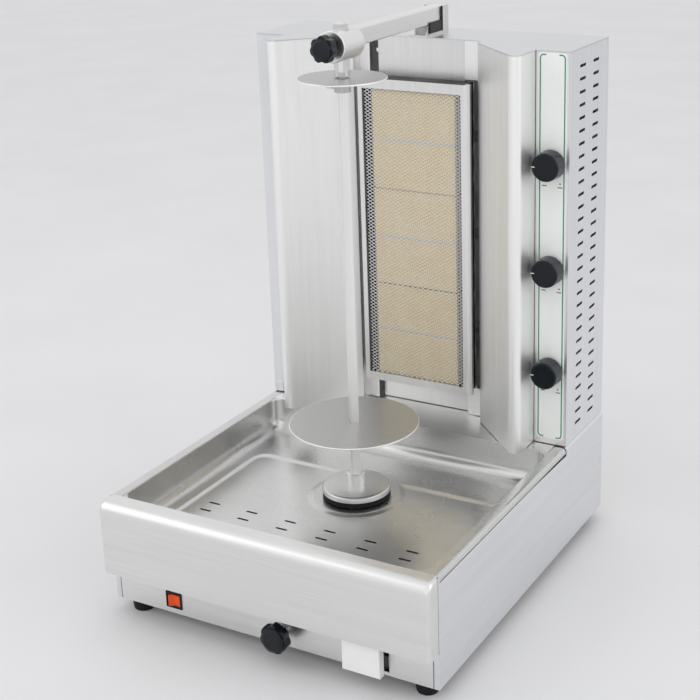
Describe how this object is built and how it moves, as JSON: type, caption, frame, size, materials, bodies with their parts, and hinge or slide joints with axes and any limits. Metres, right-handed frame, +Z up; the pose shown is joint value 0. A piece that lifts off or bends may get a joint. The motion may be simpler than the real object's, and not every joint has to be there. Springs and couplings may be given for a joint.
{
  "type": "rotisserie oven",
  "caption": "Vertical gas rotisserie oven: motor-driven upright spit over a deep drip tray, facing ceramic burners in a stainless steel tower with side heat shields",
  "frame": {"origin": "middle of the footprint on the table, under the centre of the overall box", "axes": "+X to the right seen from the front, +Y to the back, +Z up along the spit"},
  "size_m": [0.54, 0.655, 0.8586],
  "materials": {
    "stainless": "satin, vertical grain",
    "steel_galv": "galvanised, dull",
    "steel_rod": "drawn, bright",
    "gear_steel": "machined, lightly oiled",
    "cast_alu": "cast and turned",
    "chrome": "polished",
    "brass": "machined",
    "black_knob": "glossy black phenolic",
    "star_knob": "semi-matt black",
    "rubber": "matt black",
    "seal": "matt black",
    "white_front": "white enamel",
    "label": "white film with a green border",
    "rocker": "translucent orange-red",
    "switch_black": "black",
    "ceramic": "matt pierced ceramic, beige",
    "motor_paint": "semi-gloss black"
  },
  "bodies": {
    "cabinet": {"base_floor": "steel_galv", "base_left_panel": "stainless", "base_right_panel": "stainless", "back_panel": "stainless", "plinth_front": "stainless", "front_apron": "stainless", "drip_pan": "stainless", "rear_deck": "stainless", "feet": "rubber", "drawer_runners": "steel_galv", "grease_gutter": "steel_galv", "switch_housing": "switch_black", "carriage_rails": "steel_galv", "tower_left_panel": "stainless", "tower_right_panel": "stainless", "tower_top_cap": "stainless", "left_shield": "stainless", "right_shield": "stainless", "control_panel": "stainless", "control_label": "label", "centre_back_panel": "stainless", "burner_housing": "stainless", "burner_frame": "stainless", "burner_mesh": "steel_rod", "ceramic_tiles": "ceramic", "burner_units": "steel_galv", "gas_manifold": "steel_galv", "gas_valves": "brass", "gas_inlet": "brass", "cable_gland": "switch_black", "arm_bracket": "stainless"},
    "carriage": {"motor_carriage": "steel_galv", "gearbox_housing": "cast_alu", "drive_motor": "motor_paint"},
    "spit": {"drive_gear": "gear_steel", "drive_shaft": "steel_rod", "turntable": "cast_alu", "turntable_seal": "seal", "spit_rod": "steel_rod"},
    "pinion": {"motor_pinion": "gear_steel"},
    "lower_disc": {"lower_disc": "stainless", "lower_disc_screw": "chrome"},
    "upper_disc": {"upper_disc": "stainless", "upper_disc_screw": "chrome"},
    "adjuster": {"adjuster_rod": "steel_rod", "adjuster_knob": "star_knob"},
    "arm": {"arm_bar": "stainless", "head_block": "stainless"},
    "sleeve": {"top_sleeve": "chrome", "top_nut": "chrome"},
    "head_knob": {"head_knob": "star_knob"},
    "rocker": {"switch_rocker": "rocker"},
    "drawer": {"grease_drawer": "stainless", "drawer_front": "white_front"},
    "plunger_1": {"valve_plunger_1": "brass"},
    "plunger_2": {"valve_plunger_2": "brass"},
    "plunger_3": {"valve_plunger_3": "brass"},
    "knob_1": {"knob_1": "black_knob"},
    "knob_2": {"knob_2": "black_knob"},
    "knob_3": {"knob_3": "black_knob"}
  },
  "joints": [
    {"name": "carriage_slide", "type": "slide", "parent": "cabinet", "child": "carriage", "axis": [0, 1, 0], "range_m": [-0.03, 0]},
    {"name": "spit_spin", "type": "hinge", "parent": "carriage", "child": "spit", "pos_m": [0, -0.0385, 0.3], "axis": [0, 0, 1], "continuous": true},
    {"name": "pinion_spin", "type": "hinge", "parent": "carriage", "child": "pinion", "pos_m": [0, 0.014, 0.102], "axis": [0, 0, 1], "continuous": true},
    {"name": "adjuster_turn", "type": "hinge", "parent": "carriage", "child": "adjuster", "pos_m": [0.028, -0.2185, 0.0465], "axis": [0, 1, 0], "range_deg": [0, 180]},
    {"name": "lower_disc_slide", "type": "slide", "parent": "spit", "child": "lower_disc", "axis": [0, 0, 1], "range_m": [-0.04, 0.15]},
    {"name": "upper_disc_slide", "type": "slide", "parent": "spit", "child": "upper_disc", "axis": [0, 0, 1], "range_m": [-0.3, 0]},
    {"name": "arm_slide", "type": "slide", "parent": "cabinet", "child": "arm", "axis": [0, 1, 0], "range_m": [-0.03, 0]},
    {"name": "sleeve_lift", "type": "slide", "parent": "arm", "child": "sleeve", "axis": [0, 0, 1], "range_m": [0, 0.025]},
    {"name": "head_knob_turn", "type": "hinge", "parent": "arm", "child": "head_knob", "pos_m": [0, -0.0715, 0.825], "axis": [0, 1, 0], "range_deg": [0, 180]},
    {"name": "rocker_tilt", "type": "hinge", "parent": "cabinet", "child": "rocker", "pos_m": [-0.164, -0.2865, 0.0423], "axis": [0, 0, -1], "range_deg": [0, 24]},
    {"name": "drawer_slide", "type": "slide", "parent": "cabinet", "child": "drawer", "axis": [0, -1, 0], "range_m": [0, 0.19]},
    {"name": "knob_1_push", "type": "slide", "parent": "cabinet", "child": "plunger_1", "axis": [0, 1, 0], "range_m": [0, 0.003], "stiffness_N_per_m": 400},
    {"name": "knob_1_turn", "type": "hinge", "parent": "plunger_1", "child": "knob_1", "pos_m": [0.2405, 0.1315, 0.636], "axis": [0, -1, 0], "range_deg": [0, 180]},
    {"name": "knob_2_push", "type": "slide", "parent": "cabinet", "child": "plunger_2", "axis": [0, 1, 0], "range_m": [0, 0.003], "stiffness_N_per_m": 400},
    {"name": "knob_2_turn", "type": "hinge", "parent": "plunger_2", "child": "knob_2", "pos_m": [0.2405, 0.1315, 0.474], "axis": [0, -1, 0], "range_deg": [0, 180]},
    {"name": "knob_3_push", "type": "slide", "parent": "cabinet", "child": "plunger_3", "axis": [0, 1, 0], "range_m": [0, 0.003], "stiffness_N_per_m": 400},
    {"name": "knob_3_turn", "type": "hinge", "parent": "plunger_3", "child": "knob_3", "pos_m": [0.2405, 0.1315, 0.312], "axis": [0, -1, 0], "range_deg": [0, 180]}
  ],
  "couplings": [
    {"joint": "pinion_spin", "follows": "spit_spin", "ratio": -3},
    {"joint": "arm_slide", "follows": "carriage_slide", "ratio": 1}
  ]
}
